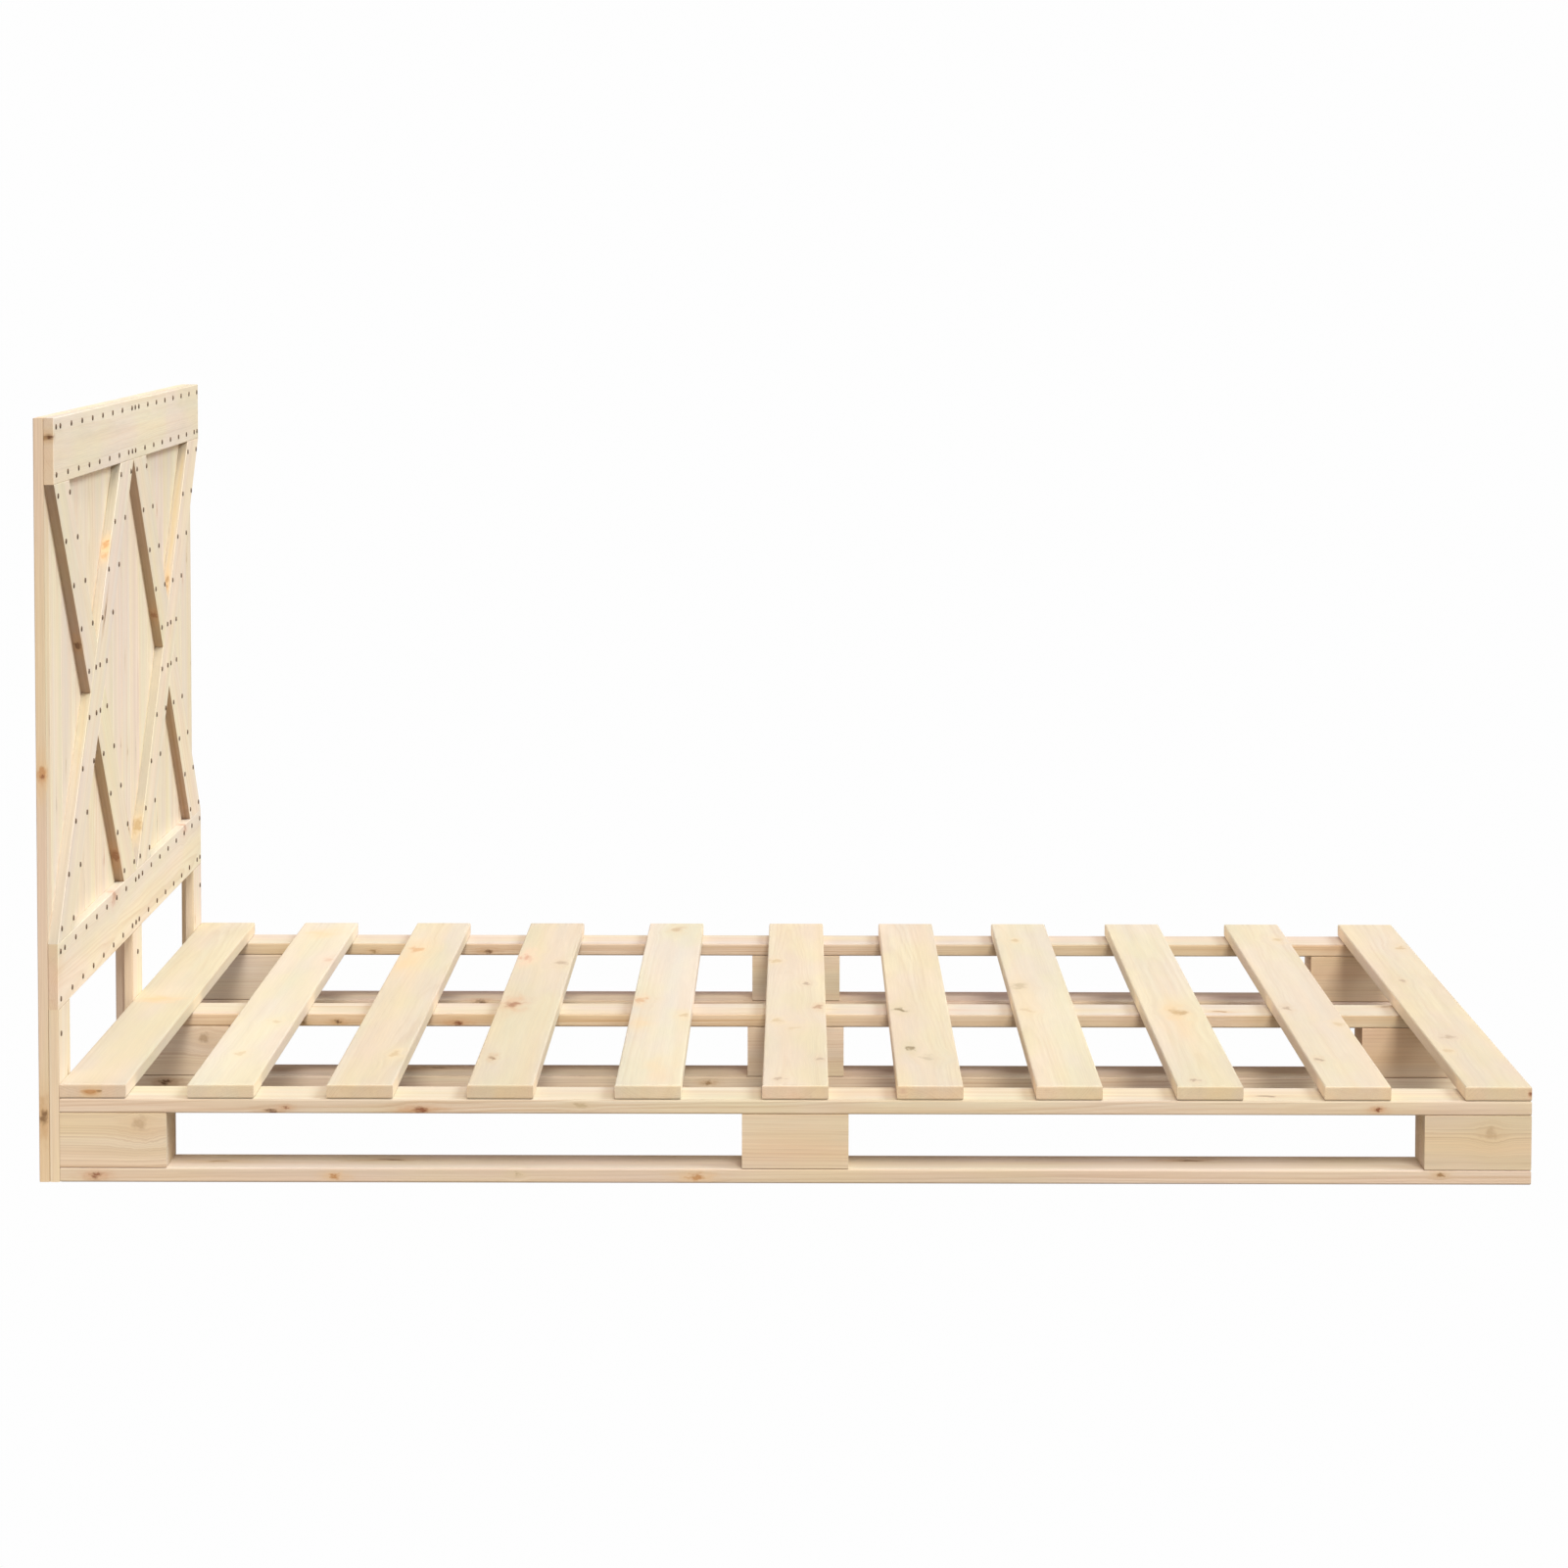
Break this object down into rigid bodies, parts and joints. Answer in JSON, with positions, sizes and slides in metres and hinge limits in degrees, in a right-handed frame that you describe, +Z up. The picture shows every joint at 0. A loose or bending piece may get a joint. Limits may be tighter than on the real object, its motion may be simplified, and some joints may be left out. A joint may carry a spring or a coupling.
{
  "type": "pallet bed",
  "caption": "Pine pallet bed: spaced slats on runners of boards and blocks, and an upright headboard of vertical planks with rails and crossed braces.",
  "frame": {"origin": "on the floor, in the middle of the whole bed's footprint", "axes": "+X from the headboard to the foot, +Y to the sleeper's left, +Z up"},
  "size_m": [2.028, 1.4, 1.04],
  "materials": {
    "slat_pine": "planed, unfinished",
    "runner_pine": "planed, unfinished",
    "headboard_pine": "planed, unfinished",
    "screw_steel": "zinc plated"
  },
  "bodies": {
    "root": {"slat_01": "slat_pine", "slat_02": "slat_pine", "slat_03": "slat_pine", "slat_04": "slat_pine", "slat_05": "slat_pine", "slat_06": "slat_pine", "slat_07": "slat_pine", "slat_08": "slat_pine", "slat_09": "slat_pine", "slat_10": "slat_pine", "slat_11": "slat_pine", "runner_bottom_board_right": "runner_pine", "runner_bottom_board_centre": "runner_pine", "runner_bottom_board_left": "runner_pine", "runner_top_board_right": "runner_pine", "runner_top_board_centre": "runner_pine", "runner_top_board_left": "runner_pine", "block_right_head": "runner_pine", "block_right_middle": "runner_pine", "block_right_foot": "runner_pine", "block_centre_head": "runner_pine", "block_centre_middle": "runner_pine", "block_centre_foot": "runner_pine", "block_left_head": "runner_pine", "block_left_middle": "runner_pine", "block_left_foot": "runner_pine", "headboard_post_right": "headboard_pine", "headboard_post_centre": "headboard_pine", "headboard_post_left": "headboard_pine", "headboard_plank_01": "headboard_pine", "headboard_plank_02": "headboard_pine", "headboard_plank_03": "headboard_pine", "headboard_plank_04": "headboard_pine", "headboard_plank_05": "headboard_pine", "headboard_plank_06": "headboard_pine", "headboard_plank_07": "headboard_pine", "headboard_plank_08": "headboard_pine", "headboard_plank_09": "headboard_pine", "headboard_plank_10": "headboard_pine", "headboard_plank_11": "headboard_pine", "headboard_plank_12": "headboard_pine", "headboard_plank_13": "headboard_pine", "headboard_plank_14": "headboard_pine", "headboard_rail_lower": "headboard_pine", "headboard_rail_upper": "headboard_pine", "headboard_leg_board_right": "headboard_pine", "headboard_leg_board_centre": "headboard_pine", "headboard_leg_board_left": "headboard_pine", "brace_right_whole": "headboard_pine", "brace_right_upper": "headboard_pine", "brace_right_lower": "headboard_pine", "brace_left_whole": "headboard_pine", "brace_left_upper": "headboard_pine", "brace_left_lower": "headboard_pine", "coach_screw_right_lower": "screw_steel", "coach_screw_right_upper": "screw_steel", "coach_screw_centre_lower": "screw_steel", "coach_screw_centre_upper": "screw_steel", "coach_screw_left_lower": "screw_steel", "coach_screw_left_upper": "screw_steel"}
  },
  "joints": []
}
